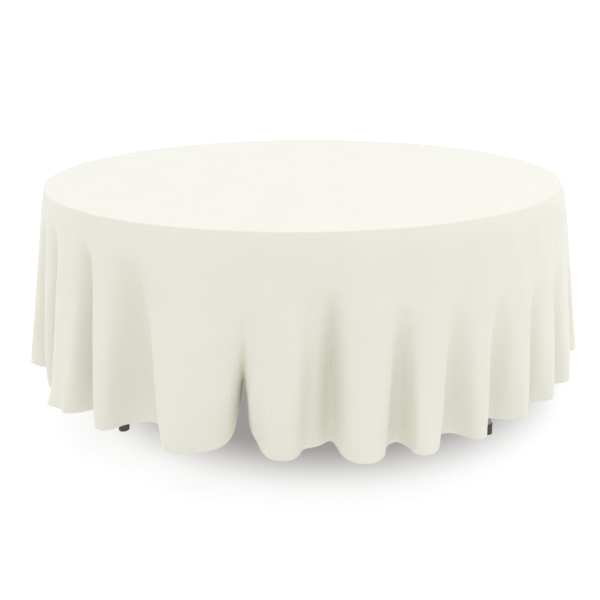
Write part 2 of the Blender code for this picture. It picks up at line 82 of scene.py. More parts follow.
# The hem seen from above, along the front towards +X: azimuth in degrees from -Y, and how far it
# stands outside the table's edge.
FRONT_HEM = (
    (-70.5, 0.108), (-68.6, 0.118), (-66.4, 0.085), (-65.4, 0.045), (-63.2, 0.022),
    (-60.8, 0.026), (-59.6, 0.058), (-57.8, 0.084), (-55.6, 0.088), (-54.2, 0.060),
    (-53.6, 0.030), (-52.4, 0.022), (-51.4, 0.050), (-51.0, 0.104), (-50.0, 0.132),
    (-48.6, 0.140), (-47.2, 0.124), (-46.0, 0.118), (-45.0, 0.126), (-44.1, 0.116),
    (-43.3, 0.082), (-42.6, 0.030), (-41.0, 0.004), (-39.0, 0.018), (-38.3, 0.074),
    (-36.8, 0.110), (-34.9, 0.109), (-34.1, 0.082), (-33.8, 0.048), (-32.8, 0.012),
    (-30.4, -0.010), (-27.6, -0.006), (-25.6, 0.022), (-24.6, 0.060), (-22.8, 0.098),
    (-20.5, 0.114), (-18.0, 0.094), (-15.5, 0.071), (-13.8, 0.043), (-12.9, -0.010),
    (-13.5, -0.102), (-15.1, -0.185), (-16.2, -0.232), (-15.4, -0.240), (-13.9, -0.182),
    (-11.5, -0.085), (-9.9, -0.024), (-8.2, 0.013), (-6.8, 0.054), (-5.0, 0.084),
    (-2.2, 0.084), (-0.9, 0.056), (-0.5, 0.028), (0.4, 0.014), (2.2, 0.006),
    (3.9, -0.012), (5.0, -0.016), (5.6, 0.016), (5.9, 0.060), (6.8, 0.096),
    (8.4, 0.118), (10.3, 0.119), (12.1, 0.096), (13.2, 0.060), (14.0, 0.034),
    (15.2, 0.024), (16.2, 0.022), (16.9, 0.038), (17.2, 0.070), (17.2, 0.106),
    (18.6, 0.126), (20.3, 0.119), (22.3, 0.080), (23.4, 0.042), (25.0, 0.030),
    (26.7, 0.044), (27.5, 0.080), (27.9, 0.108), (29.4, 0.118), (31.0, 0.098),
    (31.8, 0.060), (33.2, 0.028), (35.6, 0.036), (37.0, 0.074), (39.0, 0.106),
    (41.0, 0.104), (42.4, 0.070), (43.4, 0.034), (45.2, 0.040), (46.6, 0.076),
    (48.8, 0.108), (50.8, 0.102), (51.9, 0.066), (53.2, 0.042), (54.9, 0.052),
    (55.8, 0.084), (57.6, 0.114), (60.2, 0.108),
)
# The folds that fill the rest of the hem, round the back.
BACK_FOLDS = 18
BACK_CREST = 0.110
BACK_TROUGH = 0.016
BACK_VARIATION = 0.012
BACK_SWAY = 1.6  # degrees
BACK_STEEPNESS = 0.95  # 0 for round waves, towards 1 for steep flanks
BACK_KNOTS = 8  # for each fold
HEM_ROUNDING = 0.006  # the smallest radius, about, that the hem turns on
HEM_SAMPLES = 6000

# How the skirt leaves the table's edge. "Share" is of the drop, from 0 at the edge to 1 at the hem.
CREST_LEAN = 0.12  # how far the folds' crests stand out at the hem
WEAVE_GIVE = 1.01  # the hanging weave gives a little on the slant
STEEPEST_LEAN = 0.4  # share of each step that falls, at the least
BULGE = 0.007  # how far the stiff cloth stands off below the edge
BULGE_SIDE = 0.006  # more of it towards +X, and less towards -X
BULGE_DEPTH = 0.03
RIPPLE = 0.0007

# How the thread lines lean sideways to feed the folds and the deep pleat.
PLEAT_MOUTH = 0.015  # inside the table's edge, where a fold counts as a pleat's inside
HEM_EASE = 0.03  # distances along the hem over which the leaning is spread
TABLE_EASE = 0.12
DRIFT = 0.18  # how much of the leaning is gone at the table's edge
EASE_POWER = 1.5
PLEAT_LEAN = 2.6  # degrees that the deep pleat leans towards +X at the table's edge
PLEAT_EASE = 0.08
PLEAT_DEPTHS = (0.14, 0.3)  # a fold is a plain one up to the first, a deep pleat from the second

# How the valleys between the folds open downwards.
NEIGHBOURS = 0.13  # how far along the hem a valley is compared with the deepest one
NEIGHBOUR_EASE = 0.03
VALLEY_TOP = 0.2  # share where the valleys begin
VALLEY_TOP_SWAY = 0.06
VALLEY_TOP_SMOOTH = 0.22  # how much lower they begin on the smooth side, towards +X
SMOOTH_FROM = 0.1  # radians from -Y
SMOOTH_POWER = 0.7
OPENING = 0.7  # power of the opening: 1 opens evenly, more opens late
OPENING_DEEP = 2.1
OPENING_SMOOTH = 0.5
NARROWING = 4.6  # power that narrows the valleys towards their tops
NARROWING_DEEP = 2.2
SLIGHT = 0.3  # the faint waves above the valleys

# The hem's seam.
STITCH_PITCH = 0.004
STITCH_LENGTH = 0.0033
STITCH_RADIUS = 0.00028
STITCH_LINE = 0.12  # share of the hem's width below its top
STITCH_HEIGHT = 0.7  # share of the hem's half thickness at which the stitches lie
# One face of the hem's section: share of its width from the top, share of its half thickness.
HEM_SECTION = (
    (0, 0.72), (0.05, 0.95), (0.09, 0.9), (STITCH_LINE, STITCH_HEIGHT), (0.15, 0.92),
    (0.22, 1), (0.5, 0.97), (0.85, 1), (0.95, 0.8),
)
PUCKER = 0.07  # how much the seam's pull varies the hem's thickness
PUCKER_LENGTH = 0.006

# A leg set, about its pivot: the right one's; the left one is the same, turned half round.
PIVOT_X = 0.555
LEG_STAGGER = 0.018
LEG_SPLAY = radians(3.9)
TUBE_RADIUS = 0.0143
CROSSBAR_RADIUS = 0.011
CROSSBAR_DROP = 0.25
PIVOT_TUBE_LENGTH = 0.62
LEG_TOP_HALF = 0.27
LEG_FOOT_HALF = 0.59
LEG_BEND_START = 0.07
LEG_BEND_END = 0.36
LEG_BEND_RADIUS = 0.06
CAP_RADIUS = 0.0175
CAP_HEIGHT = 0.035
BEAD_RADIUS = 0.0022
BEAD_STEPS = 28
PIVOT_Z = (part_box("right_pivot_tube")[0].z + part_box("right_pivot_tube")[1].z) / 2
LEG_LENGTH = PIVOT_Z / cos(LEG_SPLAY)

# The cloth's weave, drawn eight times as coarse as it is, so that it shows.
WEAVE_PITCH = 0.0032
SLUBS = ((6, 420, 1), (420, 6, 1))  # uneven lengths in a metre along a yarn, and across it

# Light.
WALL_LIGHT = ((0, 0.65), (0.2, 0.65), (0.42, 0.4), (0.65, 0.44))  # (sine of the height, light)
CEILING_LIGHT = (1.5, 1.54, 1.69, 1)
ROOM_LIGHT = 1.56
# A painted shadow on the floor: its glow is turned down round this middle, to the first glow inside
# the first reach and up to the second past the second reach.
SHADOW_MIDDLE = (0.07, 0.02, 0)
SHADOW_REACH = (0.68, 0.97)  # darkest inside the first radius, gone from the second
FLOOR_GLOW = (0.28, 0.86)


# ---- the cloth's shape ----


def hem_knots():
    """The whole round of the hem as azimuth and stand-off, with the back's folds filled in."""
    knots = list(FRONT_HEM)
    start, end = knots[-1][0], knots[0][0] + 360
    pitch = (end - start) / BACK_FOLDS
    for i in range(2, BACK_FOLDS * BACK_KNOTS):
        fold, step = divmod(i, BACK_KNOTS)
        phase = 2 * pi * step / BACK_KNOTS
        where = fold + step / BACK_KNOTS + BACK_STEEPNESS / (4 * pi) * sin(2 * phase)
        lean = (BACK_CREST + BACK_TROUGH) / 2 + (BACK_CREST - BACK_TROUGH) / 2 * cos(phase)
        in_trough = 2 < step < 6
        lean += BACK_VARIATION * sin(1.3 * fold + 1.1 * in_trough)
        knots.append((start + pitch * where + BACK_SWAY * sin(2.1 * where), lean))
    return np.array(knots)


def softened(values, spread):
    """Values round the closed hem, blurred over a distance in metres along it."""
    step = 2 * pi * CLOTH_RADIUS / len(values)
    wave = np.fft.fftfreq(len(values), step) * 2 * pi
    return np.fft.ifft(np.fft.fft(values) * np.exp(-((wave * spread) ** 2) / 2)).real


def even_steps(points, count):
    """A closed line of points with even steps along it."""
    closed = np.vstack([points, points[:1]])
    length = np.concatenate([[0], np.cumsum(np.linalg.norm(np.diff(closed, axis=0), axis=1))])
    at = np.linspace(0, length[-1], count + 1)[:-1]
    return np.stack([np.interp(at, length, closed[:, axis]) for axis in (0, 1)], -1)


def hem_line():
    """The hem seen from above: one point for each thread line, evenly spaced along it.

    A smooth curve runs through the knots and is then rounded.
    """
    knots = hem_knots()
    azimuth, reach = np.radians(knots[:, 0]), EDGE_RADIUS + knots[:, 1]
    points = np.stack([reach * np.sin(azimuth), -reach * np.cos(azimuth)], -1)
    before, after, beyond = np.roll(points, 1, 0), np.roll(points, -1, 0), np.roll(points, -2, 0)
    parts = []
    for t in np.arange(0, 1, 0.05):
        curve = 2 * points + (after - before) * t
        curve += (2 * before - 5 * points + 4 * after - beyond) * t**2
        curve += (3 * points - before - 3 * after + beyond) * t**3
        parts.append(curve / 2)
    fine = even_steps(np.stack(parts, 1).reshape(-1, 2), HEM_SAMPLES)
    fine = np.stack([softened(fine[:, axis], HEM_ROUNDING) for axis in (0, 1)], -1)
    return even_steps(fine, COLUMNS)


def skirt_depths():
    """Distances down the cloth from the turn over the edge, closer near it, ending in the hem."""
    steps = np.linspace(0, 1, SKIRT_STEPS + 1)[1:]
    depths = (DROP - HEM_WIDTH) * (0.75 * steps + 0.25 * steps**2)
    return np.append(depths, DROP)


def ripple(azimuth, depth):
    """Slight unevenness of hanging cloth, a millimetre or so."""
    wave = np.sin(31 * azimuth + 9 * depth + 1) + 0.7 * np.sin(47 * azimuth - 14 * depth + 2)
    wave += 0.5 * np.sin(83 * azimuth + 23 * depth) + 0.4 * np.sin(19 * azimuth + 31 * depth + 4)
    return RIPPLE * wave * min(1, depth / 0.08)


def circle(reach, azimuth):
    """Points seen from above, at reach from the middle and at an azimuth from -Y."""
    return np.stack([reach * np.sin(azimuth), -reach * np.cos(azimuth)], -1)


def thread_azimuths(hem):
    """Azimuths of the thread lines: as cut, at the hem and at the table's edge.

    They run past the inside of a deep pleat as if the cloth lay straight across its mouth.
    """
    column = np.arange(COLUMNS)
    hem_azimuth = np.unwrap(np.arctan2(hem[:, 0], -hem[:, 1]))
    even = column * 2 * pi / COLUMNS
    even += (hem_azimuth - even).mean()
    outside = np.hypot(hem[:, 0], hem[:, 1]) > EDGE_RADIUS - PLEAT_MOUTH
    straight = np.interp(column, column[outside], hem_azimuth[outside])
    at_hem = even + softened(straight - even, HEM_EASE)
    at_table = even + softened(straight - even, TABLE_EASE) * (1 - DRIFT)
    return even, at_hem, at_table


def fold_shares(fold):
    """How deep each thread line's fold is beside its neighbours, and how far it is a deep pleat."""
    size = np.hypot(fold[:, 0], fold[:, 1])
    window = round(NEIGHBOURS / (2 * pi * CLOTH_RADIUS) * COLUMNS)
    deepest = np.max([np.roll(size, shift) for shift in range(-window, window + 1)], axis=0)
    deepest = softened(deepest, NEIGHBOUR_EASE)
    plain, pleat = PLEAT_DEPTHS
    return np.clip(size / deepest, 0, 1), np.clip((deepest - plain) / (pleat - plain), 0, 1)


def fold_amount(share, azimuth, at_hem, portion, deep):
    """How much of its fold at the hem each thread line has, at a share of the drop."""
    smooth = np.clip(np.sin(azimuth - SMOOTH_FROM), 0, 1) ** SMOOTH_POWER
    lower = VALLEY_TOP_SWAY * np.sin(3 * at_hem + 1) + VALLEY_TOP_SMOOTH * smooth
    start = VALLEY_TOP + lower * (1 - deep)
    power = OPENING + OPENING_DEEP * deep + OPENING_SMOOTH * smooth
    opened = np.clip((share - start) / (1 - start), 0, 1) ** power
    narrow = portion ** ((NARROWING - NARROWING_DEEP * deep) * (1 - share))
    return opened * narrow + SLIGHT * share * (1 - share) * (1 - deep)


def hung_cloth():
    """Points of the hung cloth and of the flat round it was cut from, as [row, column, xyz]."""
    hem = hem_line()
    even, at_hem, at_table = thread_azimuths(hem)
    fold = hem - circle(EDGE_RADIUS + CREST_LEAN, at_hem)
    portion, deep = fold_shares(fold)
    sideways = radians(PLEAT_LEAN) * softened(deep, PLEAT_EASE)
    level = TABLE_HEIGHT + CLOTH_LIFT
    flat_end = TOP_RADIUS - MOULDING_ROUND

    def ring(reach, azimuth, z):
        return np.column_stack([circle(reach, azimuth), np.full(COLUMNS, z)])

    hung, cut = [], []
    for share in TOP_RINGS:
        hung.append(ring(flat_end * share, at_table + sideways, level))
        cut.append(flat_end * share)
    for turn in np.radians(EDGE_TURNS):
        reach = flat_end + TURN_RADIUS * sin(turn)
        hung.append(ring(reach, at_table + sideways, level - TURN_RADIUS * (1 - cos(turn))))
        cut.append(flat_end + TURN_RADIUS * turn)
    depth_before = 0
    for depth in skirt_depths():
        share = depth / DROP
        azimuth = at_hem + (at_table - at_hem) * (1 - share) ** EASE_POWER
        azimuth += sideways * (1 - share) ** 0.5
        bulge = (BULGE + BULGE_SIDE * np.sin(azimuth)) * (1 - np.exp(-depth / BULGE_DEPTH))
        out = EDGE_RADIUS + CREST_LEAN * share + bulge * (1 - share) + ripple(azimuth, depth)
        amount = fold_amount(share, azimuth, at_hem, portion, deep)
        place = circle(out, azimuth) + fold * amount[:, None]
        moved = np.linalg.norm(place - hung[-1][:, :2], axis=1)
        step = depth - depth_before
        fall = np.sqrt(np.maximum(step**2 - moved**2, (STEEPEST_LEAN * step) ** 2)) * WEAVE_GIVE
        hung.append(np.column_stack([place, hung[-1][:, 2] - fall]))
        cut.append(flat_end + TURN_RADIUS * pi / 2 + depth)
        depth_before = depth
    return np.array(hung), np.array([ring(reach, even, level) for reach in cut])


# ---- meshes ----


def add_piece(name, mesh, body, material, replaced=(), sharp=None):
    """Link a piece, attach it to the body it rides on, hide the CAD parts it stands for, and give
    it its finish.
    """
    mesh.shade_smooth()
    if sharp:
        mesh.set_sharp_from_angle(angle=radians(sharp))
    mesh.materials.append(material)
    piece = bpy.data.objects.new(name, mesh)
    bpy.context.scene.collection.objects.link(piece)
    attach(piece, body)
    if replaced:
        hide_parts(*replaced)
    return piece


def finished(bm, name):
    """The mesh of a bmesh, which is freed."""
    mesh = bpy.data.meshes.new(name)
    bm.to_mesh(mesh)
    bm.free()
    return mesh


def woven_grid(name, points, cut, ring_of_rows=False):
    """Cloth as a grid closed round its columns: its points placed, and its cut as the UV map.

    With ring_of_rows the rows close too, so that the grid is a tube.
    """
    points, cut = (np.concatenate([grid, grid[:, :1]], 1) for grid in (points, cut))
    if ring_of_rows:
        points, cut = (np.concatenate([grid, grid[:1]], 0) for grid in (points, cut))
    rows, columns = points.shape[0] - 1, points.shape[1] - 1
    bm = bmesh.new()
    uv = bm.loops.layers.uv.new("cut")
    bmesh.ops.create_grid(bm, x_segments=columns, y_segments=rows, size=0.5, calc_uvs=False)
    places = {}
    for vert in bm.verts:
        places[vert] = (round((vert.co.y + 0.5) * rows), round((vert.co.x + 0.5) * columns))
    for face in bm.faces:
        for loop in face.loops:
            loop[uv].uv = cut[places[loop.vert]][:2]
    for vert, place in places.items():
        vert.co = points[place]
    bmesh.ops.remove_doubles(bm, verts=bm.verts, dist=1e-6)
    bmesh.ops.recalc_face_normals(bm, faces=bm.faces)
    highest = max(bm.faces, key=lambda face: face.calc_center_median().z)
    if not ring_of_rows and highest.normal.z < 0:
        bmesh.ops.reverse_faces(bm, faces=bm.faces)
    return finished(bm, name)


def sheet_frame(hung):
    """Along and outward directions of the cloth at the hem, one for each thread line."""
    along = np.roll(hung[-1], -1, 0) - np.roll(hung[-1], 1, 0)
    down = hung[-1] - hung[-2]
    outward = np.cross(down, along)
    along /= np.linalg.norm(along, axis=1)[:, None]
    outward /= np.linalg.norm(outward, axis=1)[:, None]
    return along, outward


def hem_strip(hung, cut):
    """The doubled hem: a flat tube along the cloth's edge, dented along its seam."""
    outward = sheet_frame(hung)[1]
    rng = np.random.default_rng(7)
    pucker = softened(rng.normal(size=COLUMNS), PUCKER_LENGTH)
    pucker = 1 + PUCKER * pucker / pucker.std()
    loop = [*HEM_SECTION, (1, 0), *((down, -out) for down, out in reversed(HEM_SECTION))]
    points, flat = [], []
    for down, out in loop:
        middle = hung[-2] + (hung[-1] - hung[-2]) * down
        points.append(middle + outward * (HEM_THICK / 2 * out * pucker)[:, None])
        flat.append(cut[-2] + (cut[-1] - cut[-2]) * down)
    return woven_grid("hem", np.array(points), np.array(flat), ring_of_rows=True)


def many_spindles(count):
    """A mesh of count small spindles and the points of one, its length along X.

    The mesh is doubled until it holds enough of them; they are placed afterwards.
    """
    bm = bmesh.new()
    bmesh.ops.create_icosphere(bm, subdivisions=1, radius=1)
    shape = np.array([vert.co for vert in bm.verts])
    wanted = count * len(shape)
    while len(bm.verts) < wanted:
        verts = list(bm.verts)[: wanted - len(bm.verts)]
        chosen = set(verts)
        faces = [face for face in bm.faces if face.verts[0] in chosen]
        edges = [edge for edge in bm.edges if edge.verts[0] in chosen]
        bmesh.ops.duplicate(bm, geom=verts + edges + faces)
    mesh = finished(bm, "hem_stitches")
    return mesh, shape * (STITCH_LENGTH / 2, STITCH_RADIUS, STITCH_RADIUS)


def seam_stitches(hung):
    """Lockstitches on both faces of the hem, each a small spindle of thread."""
    along, outward = sheet_frame(hung)
    line = hung[-2] + (hung[-1] - hung[-2]) * STITCH_LINE
    count = round(2 * pi * CLOTH_RADIUS / STITCH_PITCH)
    mesh, shape = many_spindles(2 * count)
    at = np.tile(np.arange(count) * COLUMNS / count, 2)
    low = at.astype(int)
    part = (at - low)[:, None]

    def between(values):
        return values[low % COLUMNS] * (1 - part) + values[(low + 1) % COLUMNS] * part

    out = between(outward) * np.repeat((1, -1), count)[:, None]
    centre = between(line) + out * (HEM_THICK / 2 * STITCH_HEIGHT)
    ahead = between(along)
    placed = centre[:, None]
    for i, axis in enumerate((ahead, out, np.cross(ahead, out))):
        placed = placed + shape[None, :, i, None] * axis[:, None]
    mesh.vertices.foreach_set("co", placed.reshape(-1))
    mesh.update()
    return mesh


def turn_about_z(bm, geom, steps):
    """Spin the geometry a full turn about Z."""
    bmesh.ops.spin(bm, geom=geom, cent=(0, 0, 0), axis=(0, 0, 1), dvec=(0, 0, 0), angle=2 * pi,
                   steps=steps, use_merge=True)


def spun(profile, steps, matrix=None, closed=False):
    """A profile of (radius, height) turned about Z."""
    bm = bmesh.new()
    verts = [bm.verts.new((radius, 0, height)) for radius, height in profile]
    edges = [bm.edges.new(pair) for pair in zip(verts, verts[1:])]
    if closed:
        edges.append(bm.edges.new((verts[-1], verts[0])))
    turn_about_z(bm, verts + edges, steps)
    bmesh.ops.remove_doubles(bm, verts=bm.verts, dist=1e-6)
    bmesh.ops.recalc_face_normals(bm, faces=bm.faces)
    if matrix:
        bmesh.ops.transform(bm, matrix=matrix, verts=bm.verts)
    return bm


def arc(centre, radius, start, end, steps):
    """Points on an arc, angles in degrees."""
    turns = [radians(start + (end - start) * i / steps) for i in range(steps + 1)]
    return [(centre[0] + radius * cos(a), centre[1] + radius * sin(a)) for a in turns]


def bent_path(corners, radius, steps):
    """Points along the corners, with each inner corner turned on an arc."""
    corners = [Vector(corner) for corner in corners]
    path = [corners[0]]
    for before, corner, after in zip(corners, corners[1:], corners[2:]):
        back = (before - corner).normalized()
        ahead = (after - corner).normalized()
        half = back.angle(ahead) / 2
        centre = corner + (back + ahead).normalized() * radius / sin(half)
        first = corner + back * radius / tan(half) - centre
        last = corner + ahead * radius / tan(half) - centre
        for i in range(steps + 1):
            path.append(centre + first.slerp(last, i / steps).normalized() * radius)
    return path + [corners[-1]]


def tube(name, path, radius, matrix):
    """A round tube swept along a path."""
    curve = bpy.data.curves.new(name, "CURVE")
    curve.dimensions = "3D"
    curve.bevel_depth = radius
    curve.bevel_resolution = 7
    curve.use_fill_caps = True
    spline = curve.splines.new("POLY")
    spline.points.add(len(path) - 1)
    for point, co in zip(spline.points, path):
        point.co = (*co, 1)
    source = bpy.data.objects.new(name, curve)
    mesh = bpy.data.meshes.new_from_object(source)
    bpy.data.objects.remove(source)
    bpy.data.curves.remove(curve)
    mesh.transform(matrix)
    return mesh


def bead(bm, centre, axis, radius):
    """A weld bead round a tube's end, added to those that are there and are tagged."""
    place = Matrix.Translation((radius, 0, 0)) @ Matrix.Rotation(pi / 2, 4, "X")
    ring = bmesh.ops.create_circle(bm, radius=BEAD_RADIUS, segments=8, matrix=place)
    edges = list({edge for vert in ring["verts"] for edge in vert.link_edges})
    turn_about_z(bm, ring["verts"] + edges, BEAD_STEPS)
    verts = [vert for vert in bm.verts if not vert.tag]
    turn = Vector((0, 0, 1)).rotation_difference(Vector(axis)).to_matrix().to_4x4()
    bmesh.ops.transform(bm, matrix=Matrix.Translation(centre) @ turn, verts=verts)
    for vert in verts:
        vert.tag = True


# ---- finishes ----


def linear(code):
    """An sRGB hex colour as linear RGBA."""
    values = [int(code[i : i + 2], 16) / 255 for i in (1, 3, 5)]
    return [v / 12.92 if v <= 0.04045 else ((v + 0.055) / 1.055) ** 2.4 for v in values] + [1]


def add_node(tree, kind, links=None, **settings):
    """Add a node with its settings, and link its inputs from the outputs in links."""
    node = tree.nodes.new(kind)
    for key, value in settings.items():
        setattr(node, key, value)
    for name, value in (links or {}).items():
        if isinstance(value, bpy.types.NodeSocket):
            tree.links.new(value, node.inputs[name])
        else:
            node.inputs[name].default_value = value
    return node


def new_finish(name, colour, roughness, metallic=0.0):
    """A material, its node tree and its shader."""
    material = bpy.data.materials.new(name)
    material.use_nodes = True
    shader = material.node_tree.nodes["Principled BSDF"]
    shader.inputs["Base Color"].default_value = linear(colour)
    shader.inputs["Roughness"].default_value = roughness
    shader.inputs["Metallic"].default_value = metallic
    return material, material.node_tree, shader


def math_node(tree, operation, *values):
    """The result of a sum, product or function of sockets or numbers."""
    links = dict(enumerate(values))
    return add_node(tree, "ShaderNodeMath", links, operation=operation).outputs["Value"]


def noise(tree, place, scale, detail=2.0, distortion=0.0):
    """Noise between 0 and 1 at a place, its grains about 1 / scale across."""
    links = {"Vector": place, "Scale": scale, "Detail": detail, "Distortion": distortion}
    return add_node(tree, "ShaderNodeTexNoise", links).outputs["Fac"]


def stretched(tree, place, scale):
    """A place scaled by its own amount along each axis."""
    links = {"Vector": place, "Scale": scale}
    return add_node(tree, "ShaderNodeMapping", links).outputs["Vector"]


def bump(tree, height, strength, distance, normal=None):
    """The normal of a surface with a fine relief, on top of another one's if it is given."""
    links = {"Height": height, "Strength": strength, "Distance": distance}
    if normal:
        links["Normal"] = normal
    return add_node(tree, "ShaderNodeBump", links).outputs["Normal"]


def object_place(tree):
    """The place on a piece, in metres."""
    return add_node(tree, "ShaderNodeTexCoord").outputs["Object"]


def ramp(tree, factor, stops):
    """A colour ramp, from stops of (place, colour)."""
    node = add_node(tree, "ShaderNodeValToRGB", {"Fac": factor})
    while len(node.color_ramp.elements) < len(stops):
        node.color_ramp.elements.new(0.5)
    for element, (place, colour) in zip(node.color_ramp.elements, stops):
        element.position = place
        element.color = colour
    return node.outputs["Color"]


def spun_polyester():
    """Plain-woven spun polyester, pressed and matt: soft ivory, with a little light in its fuzz."""
    material, tree, shader = new_finish("spun_polyester_plain_weave", "#E5E5D8", 0.78)
    shader.inputs["Specular IOR Level"].default_value = 0.35
    shader.inputs["Sheen Weight"].default_value = 0.35
    shader.inputs["Sheen Roughness"].default_value = 0.45
    shader.inputs["Sheen Tint"].default_value = linear("#FFFDF4")
    cut = add_node(tree, "ShaderNodeUVMap", uv_map="cut").outputs["UV"]
    sides = add_node(tree, "ShaderNodeSeparateXYZ", {"Vector": cut}).outputs
    raised = []
    for axis, other in (("X", "Y"), ("Y", "X")):
        across = math_node(tree, "MULTIPLY", sides[axis], 2 * pi / WEAVE_PITCH)
        down = math_node(tree, "MULTIPLY", sides[other], 2 * pi / WEAVE_PITCH)
        wave = math_node(tree, "SINE", across)
        cross = math_node(tree, "COSINE", down)
        raised.append(math_node(tree, "MULTIPLY", wave, cross))
    height = math_node(tree, "MAXIMUM", *raised)
    # Thicker and thinner lengths of yarn run along both ways of the weave.
    slubs = [noise(tree, stretched(tree, cut, scale), 1.0) for scale in SLUBS]
    slub = math_node(tree, "ADD", *slubs)
    # Broad, faint patches are left by the press.
    pressed = noise(tree, cut, 5.0, 3.0)
    tone = math_node(tree, "DIVIDE", math_node(tree, "ADD", slub, pressed), 3.0)
    colour = ramp(tree, tone, ((0.25, linear("#DFDDCE")), (0.75, linear("#E6E4D8"))))
    tree.links.new(colour, shader.inputs["Base Color"])
    threads = bump(tree, height, 0.35, 0.0002)
    tree.links.new(bump(tree, slub, 0.5, 0.0004, threads), shader.inputs["Normal"])
    return material


def polyester_thread():
    """Twisted polyester sewing thread: a shade lighter than the cloth, with a dull shine."""
    material, tree, shader = new_finish("twisted_polyester_thread", "#E8E8DC", 0.5)
    twist = noise(tree, object_place(tree), 1500.0)
    tree.links.new(bump(tree, twist, 0.4, 0.0002), shader.inputs["Normal"])
    return material


def sawn_wood(name, pale, dark, grain, figure, roughness):
    """Wood along X, from the widths in metres of its grain lines and of its broader figure."""
    material, tree, shader = new_finish(name, pale, roughness)
    long_way = stretched(tree, object_place(tree), (0.04, 1, 1))
    lines = noise(tree, long_way, 1 / grain, 4.0)
    flames = noise(tree, long_way, 1 / figure, 2.0, 1.5)
    half = math_node(tree, "MULTIPLY", math_node(tree, "ADD", lines, flames), 0.5)
    colour = ramp(tree, half, ((0.36, linear(dark)), (0.62, linear(pale))))
    tree.links.new(colour, shader.inputs["Base Color"])
    tree.links.new(bump(tree, lines, 0.3, 0.0004), shader.inputs["Normal"])
    return material


def grained_finish(name, colour, worn, roughness, grit, depth, metallic=0.0):
    """A coated, moulded or plated surface: grit is its texture's size and depth its height."""
    material, tree, shader = new_finish(name, colour, roughness, metallic)
    place = object_place(tree)
    broad = noise(tree, place, 25.0, 4.0)
    tone = ramp(tree, broad, ((0.35, linear(worn)), (0.65, linear(colour))))
    tree.links.new(tone, shader.inputs["Base Color"])
    gloss = {"Value": broad, "To Min": roughness - 0.06, "To Max": roughness + 0.08}
    gloss = add_node(tree, "ShaderNodeMapRange", gloss).outputs["Result"]
    tree.links.new(gloss, shader.inputs["Roughness"])
    relief = bump(tree, noise(tree, place, 1 / grit), 0.4, depth)
    tree.links.new(relief, shader.inputs["Normal"])
    return material


# ---- camera, light and floor ----


def camera():
    """From the front, a little above the table."""
    data = bpy.data.cameras.new("camera")
    data.lens = 41.2
    data.sensor_width = 36
    obj = bpy.data.objects.new("camera", data)
    heading, pitch, roll = radians(0.09), radians(90 - 20.14), radians(-0.44)
    turn = Matrix.Rotation(heading, 4, "Z") @ Matrix.Rotation(pitch, 4, "X")
    turn = turn @ Matrix.Rotation(roll, 4, "Z")
    obj.matrix_world = Matrix.Translation((-0.007, -2.583, 1.193)) @ turn
    bpy.context.scene.collection.objects.link(obj)
    bpy.context.scene.camera = obj


def white_room():
    """The room's light: pale walls, duller above them, and a bright, slightly cool ceiling."""
    scene = bpy.context.scene
    scene.view_settings.view_transform = "Standard"
    scene.world = bpy.data.worlds.new("white_room")
    scene.world.use_nodes = True
    tree = scene.world.node_tree
    upwards = add_node(tree, "ShaderNodeTexCoord").outputs["Generated"]
    height = add_node(tree, "ShaderNodeSeparateXYZ", {0: upwards}).outputs["Z"]
    stops = [(place, (value, value, value, 1)) for place, value in WALL_LIGHT]
    dome = ramp(tree, height, [*stops, (1, CEILING_LIGHT)])
    tree.links.new(dome, tree.nodes["Background"].inputs["Color"])
    tree.nodes["Background"].inputs["Strength"].default_value = ROOM_LIGHT


def soft_light(name, place, power):
    """A square soft light aimed at the middle of the table."""
    data = bpy.data.lights.new(name, "AREA")
    data.energy = power
    data.size = 2.5
    light = bpy.data.objects.new(name, data)
    light.location = place
    aim = Vector((0, 0, 0.5)) - light.location
    light.rotation_euler = aim.to_track_quat("-Z", "Y").to_euler()
    bpy.context.scene.collection.objects.link(light)


def white_floor():
    """A floor that glows white, with a soft shadow under the table painted into its glow."""
    bm = bmesh.new()
    bmesh.ops.create_grid(bm, x_segments=1, y_segments=1, size=15)
    floor = bpy.data.objects.new("floor", finished(bm, "floor"))
    material, tree, shader = new_finish("white_floor", "#6C6C6C", 0.8)
    shader.inputs["Emission Color"].default_value = (1, 1, 1, 1)
    # Painted shadow: the floor's glow is dimmed towards the table's middle rather than shaded by
    # the cloth.
    away = {0: object_place(tree), 1: SHADOW_MIDDLE}
    away = add_node(tree, "ShaderNodeVectorMath", away, operation="SUBTRACT").outputs["Vector"]
    away = add_node(tree, "ShaderNodeVectorMath", {0: away}, operation="LENGTH").outputs["Value"]
    glow = {"Value": away, "From Min": SHADOW_REACH[0], "From Max": SHADOW_REACH[1],
            "To Min": FLOOR_GLOW[0], "To Max": FLOOR_GLOW[1]}
    glow = add_node(tree, "ShaderNodeMapRange", glow, interpolation_type="SMOOTHSTEP")
    tree.links.new(glow.outputs["Result"], shader.inputs["Emission Strength"])
    floor.data.materials.append(material)
    bpy.context.scene.collection.objects.link(floor)


# ---- the table ----


def make_table(plywood, moulding):
    """The disc and its edge moulding, turned finer than their solids."""
    bevel = 0.0006
    profile = [(0, TABLE_HEIGHT), (PLY_RADIUS - bevel, TABLE_HEIGHT),
               (PLY_RADIUS, TABLE_HEIGHT - bevel), (PLY_RADIUS, PLY_BOTTOM + bevel),
               (PLY_RADIUS - bevel, PLY_BOTTOM), (0, PLY_BOTTOM)]
    mesh = finished(spun(profile, TURNED_STEPS), "plywood_top")
    add_piece(mesh.name, mesh, "table", plywood, ["table_top"], 25)
    inner = TOP_RADIUS - MOULDING_THICK
    shoulder = (TOP_RADIUS - MOULDING_ROUND, TABLE_HEIGHT - MOULDING_ROUND)
    lower = 0.001
    profile = [(inner, PLY_BOTTOM), (inner, TABLE_HEIGHT)]
    profile += arc(shoulder, MOULDING_ROUND, 90, 0, 5)
    profile += arc((TOP_RADIUS - lower, PLY_BOTTOM + lower), lower, 0, -90, 3)
    mesh = finished(spun(profile, TURNED_STEPS, closed=True), "vinyl_moulding")
    add_piece(mesh.name, mesh, "table", moulding, ["edge_moulding"], 40)


